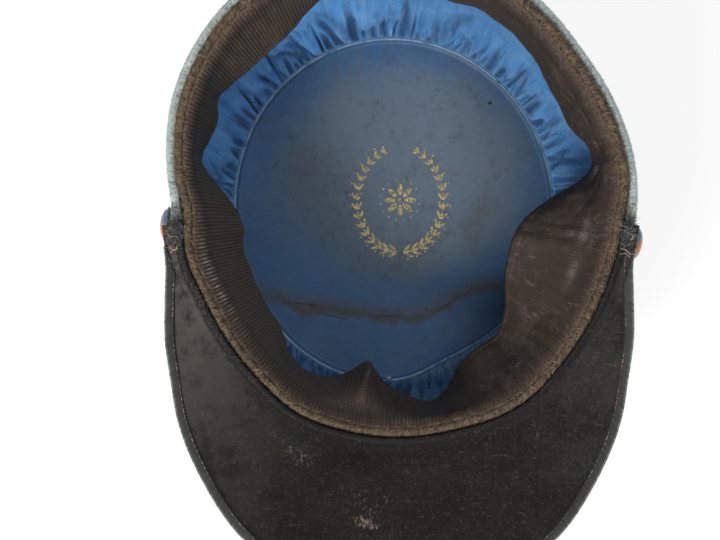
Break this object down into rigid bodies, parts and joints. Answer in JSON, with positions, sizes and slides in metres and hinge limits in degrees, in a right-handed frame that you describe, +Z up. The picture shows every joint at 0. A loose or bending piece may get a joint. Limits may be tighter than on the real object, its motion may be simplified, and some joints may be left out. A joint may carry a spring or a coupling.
{
  "type": "kepi cap",
  "caption": "Stiff-banded cloth kepi lying on its crown, opening up: flat oval top, round head band, leather peak, ribbed sweatband, gathered satin lining.",
  "frame": {"origin": "centre of the crown's flat outer face, on which the cap lies", "axes": "+Z up, out of the head opening; -Y from the middle of the cap towards the visor; +X to the right of someone who looks down into the opening with the visor towards them"},
  "size_m": [0.1864, 0.2488, 0.1118],
  "materials": {
    "cloth": "milled wool cloth, pale grey-blue, slightly fuzzy",
    "sweatband_leather": "ribbed sheepskin, dark brown, worn and slightly shiny on the ribs",
    "satin": "blue satin, soiled grey-brown over the middle of the disc",
    "visor_leather": "dark brown-black grained leather, scuffed to tan",
    "binding_leather": "thin dark grey-green leather, stitched",
    "button_metal": "blue-grey painted, worn to copper at the edge",
    "thread": "waxed brown sewing thread",
    "gilt_print": "worn gilt print on satin"
  },
  "bodies": {
    "root": {"crown_top": "cloth", "crown_side": "cloth", "band": "cloth", "sweatband": "sweatband_leather", "lining_side": "satin", "lining_top": "satin", "visor": "visor_leather", "visor_binding": "binding_leather", "button_left": "button_metal", "button_right": "button_metal"}
  },
  "joints": []
}
